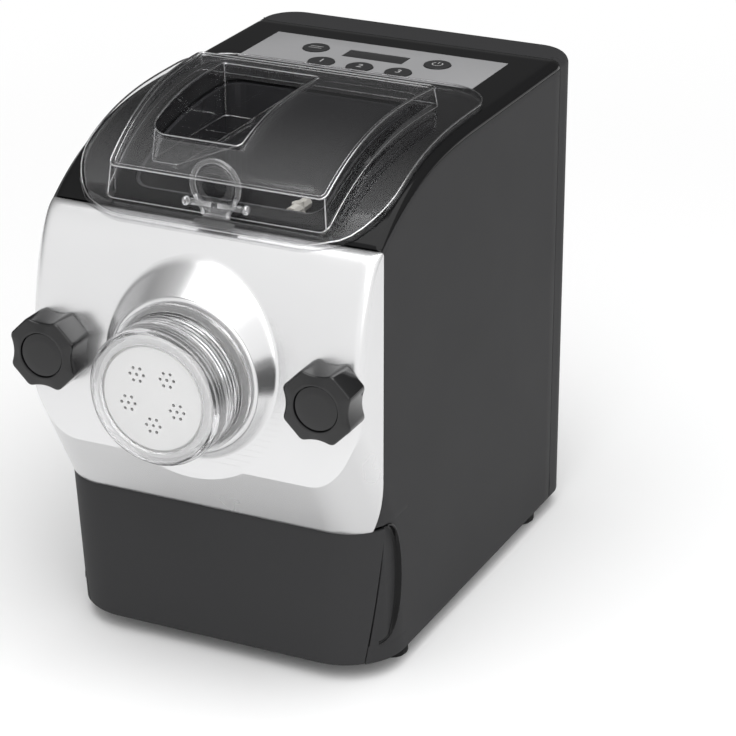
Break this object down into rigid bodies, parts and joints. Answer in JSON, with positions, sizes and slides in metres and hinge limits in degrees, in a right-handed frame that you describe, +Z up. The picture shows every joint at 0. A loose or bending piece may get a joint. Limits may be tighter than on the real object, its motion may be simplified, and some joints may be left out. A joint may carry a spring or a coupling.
{
  "type": "electric pasta maker",
  "caption": "Table-top electric pasta maker with a lidded mixing bowl, a geared kneading drive, a screw-on front nozzle, clamp knobs, a button panel and a drawer.",
  "frame": {"origin": "on the table, under the middle of the overall box", "axes": "+Z up, -Y is the front with the nozzle, +X is to the right seen from the front"},
  "size_m": [0.225, 0.38, 0.3401],
  "materials": {
    "satin_black": "satin moulded plastic",
    "gloss_black": "high gloss plastic",
    "silver": "silver lacquered plastic, soft metallic",
    "zinc_steel": "zinc plated sheet steel",
    "bowl_plastic": "dark moulded plastic",
    "clear": "clear polished plastic",
    "disc_white": "white moulded plastic",
    "bright_steel": "turned steel",
    "foil_grey": "printed grey foil",
    "display_black": "dark display window",
    "board_green": "circuit board",
    "inner_black": "black moulded plastic",
    "bronze": "sintered bronze",
    "motor_steel": "motor can",
    "rubber": "soft black rubber",
    "drawer_black": "satin moulded plastic",
    "knob_black": "gloss black plastic",
    "nylon": "natural nylon",
    "button_black": "dark button"
  },
  "bodies": {
    "housing": {"base_plate": "satin_black", "side_panel_left": "satin_black", "side_panel_right": "satin_black", "rear_cover": "satin_black", "top_cover": "gloss_black", "front_cover": "silver", "front_frame": "zinc_steel", "deck": "zinc_steel", "mixing_bowl": "bowl_plastic", "extrusion_tube": "clear", "shaping_disc": "disc_white", "stud_left": "bright_steel", "stud_right": "bright_steel", "panel_foil": "foil_grey", "display_window": "display_black", "control_board": "board_green", "power_inlet": "inner_black", "gear_plate_front": "zinc_steel", "gear_plate_rear": "zinc_steel", "bush_front": "bronze", "bush_rear": "bronze", "middle_gear_pin": "bright_steel", "motor_body": "motor_steel", "foot_front_left": "rubber", "foot_front_right": "rubber", "foot_rear_left": "rubber", "foot_rear_right": "rubber"},
    "drawer": {"drawer_front": "drawer_black", "drawer_tray": "inner_black"},
    "lid": {"lid": "clear"},
    "lid_latch": {"lid_latch": "clear"},
    "nozzle": {"nozzle_nut": "clear"},
    "knob_left": {"star_knob_left": "knob_black", "knob_cap_left": "knob_black"},
    "knob_right": {"star_knob_right": "knob_black", "knob_cap_right": "knob_black"},
    "kneading_drive": {"drive_shaft": "bright_steel", "output_gear": "nylon", "kneading_paddle": "nylon", "extrusion_screw": "nylon"},
    "middle_gear": {"middle_gear": "nylon"},
    "motor_rotor": {"motor_shaft": "bright_steel", "motor_pinion": "bright_steel", "motor_fan": "inner_black"},
    "button_manual": {"button_manual": "button_black"},
    "button_power": {"button_power": "button_black"},
    "button_program_1": {"button_program_1": "button_black"},
    "button_program_2": {"button_program_2": "button_black"},
    "button_program_3": {"button_program_3": "button_black"}
  },
  "joints": [
    {"name": "lid_lift", "type": "slide", "parent": "housing", "child": "lid", "axis": [0, 0, 1], "range_m": [0, 0.12]},
    {"name": "latch_tip", "type": "hinge", "parent": "lid", "child": "lid_latch", "pos_m": [-0.003, -0.115, 0.29661], "axis": [1, 0, 0], "range_deg": [-10, 0], "stiffness_Nm_per_rad": 0.3},
    {"name": "drawer_slide", "type": "slide", "parent": "housing", "child": "drawer", "axis": [0, -1, 0], "range_m": [0, 0.11]},
    {"name": "knob_left_turn", "type": "hinge", "parent": "housing", "child": "knob_left", "pos_m": [-0.09065, -0.155, 0.2024], "axis": [0, 1, 0], "continuous": true},
    {"name": "knob_right_turn", "type": "hinge", "parent": "housing", "child": "knob_right", "pos_m": [0.09065, -0.155, 0.2024], "axis": [0, 1, 0], "continuous": true},
    {"name": "nozzle_turn", "type": "hinge", "parent": "housing", "child": "nozzle", "pos_m": [0, -0.17, 0.2024], "axis": [0, 1, 0], "continuous": true},
    {"name": "kneading_turn", "type": "hinge", "parent": "housing", "child": "kneading_drive", "pos_m": [0, 0, 0.2024], "axis": [0, 1, 0], "continuous": true},
    {"name": "middle_gear_turn", "type": "hinge", "parent": "housing", "child": "middle_gear", "pos_m": [0, 0.07, 0.1394], "axis": [0, 1, 0], "continuous": true},
    {"name": "motor_turn", "type": "hinge", "parent": "housing", "child": "motor_rotor", "pos_m": [0, 0.1, 0.0854], "axis": [0, 1, 0], "continuous": true},
    {"name": "button_manual_press", "type": "slide", "parent": "housing", "child": "button_manual", "axis": [0, 0, -1], "range_m": [0, 0.001], "stiffness_N_per_m": 400},
    {"name": "button_power_press", "type": "slide", "parent": "housing", "child": "button_power", "axis": [0, 0, -1], "range_m": [0, 0.001], "stiffness_N_per_m": 400},
    {"name": "button_program_1_press", "type": "slide", "parent": "housing", "child": "button_program_1", "axis": [0, 0, -1], "range_m": [0, 0.001], "stiffness_N_per_m": 400},
    {"name": "button_program_2_press", "type": "slide", "parent": "housing", "child": "button_program_2", "axis": [0, 0, -1], "range_m": [0, 0.001], "stiffness_N_per_m": 400},
    {"name": "button_program_3_press", "type": "slide", "parent": "housing", "child": "button_program_3", "axis": [0, 0, -1], "range_m": [0, 0.001], "stiffness_N_per_m": 400}
  ],
  "couplings": [
    {"joint": "middle_gear_turn", "follows": "motor_turn", "ratio": -0.25},
    {"joint": "kneading_turn", "follows": "motor_turn", "ratio": 0.078125}
  ]
}
